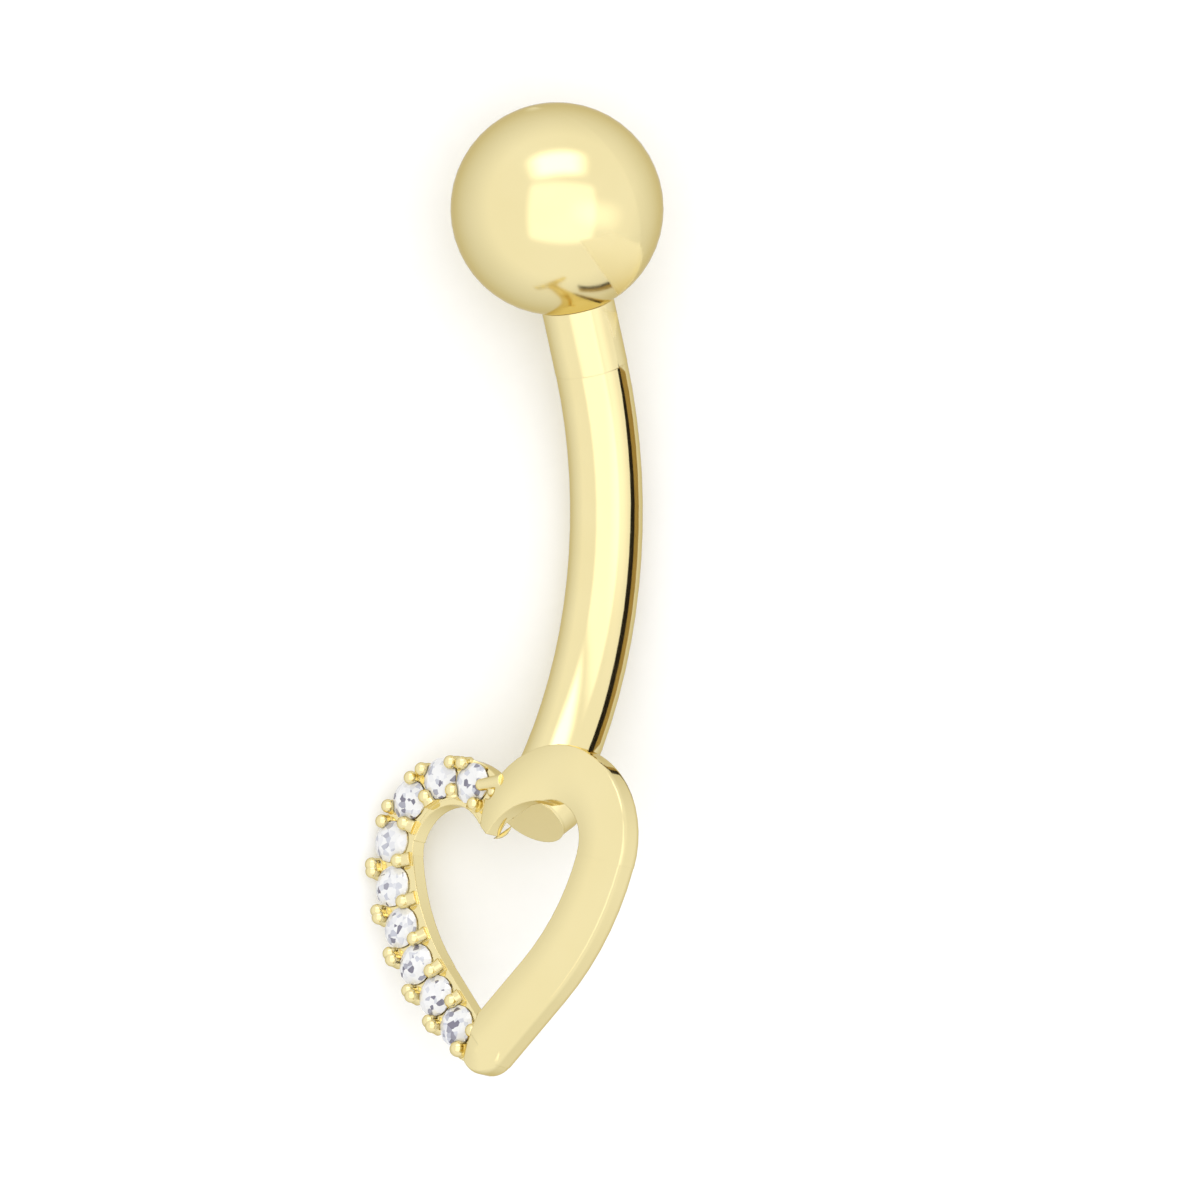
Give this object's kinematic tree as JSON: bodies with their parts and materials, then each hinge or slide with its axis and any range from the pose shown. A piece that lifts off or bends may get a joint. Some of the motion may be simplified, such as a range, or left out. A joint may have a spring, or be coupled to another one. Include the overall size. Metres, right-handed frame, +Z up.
{
  "type": "navel ring",
  "caption": "Navel ring with a curved bar, a polished ball that screws off and a soldered open heart, half plain band and half set with small round stones.",
  "frame": {"origin": "centre of the bounding box, on the surface the ring lies on", "axes": "+Y along the bar from the heart to the ball, +Z up from the surface, the ring lying on the stone side of its heart and on its ball"},
  "size_m": [0.0066, 0.0218, 0.0058],
  "materials": {
    "gold_polished": "polished",
    "gold_ball": "polished",
    "stone": "faceted and clear"
  },
  "bodies": {
    "ring": {"bar_and_heart": "gold_polished", "stone_1": "stone", "stone_2": "stone", "stone_3": "stone", "stone_4": "stone", "stone_5": "stone", "stone_6": "stone", "stone_7": "stone", "stone_8": "stone", "stone_9": "stone"},
    "ball": {"ball": "gold_ball"}
  },
  "joints": [
    {"name": "ball_off", "type": "slide", "parent": "ring", "child": "ball", "axis": [-0.2268, 0.9358, 0.2699], "range_m": [0, 0.004]}
  ]
}
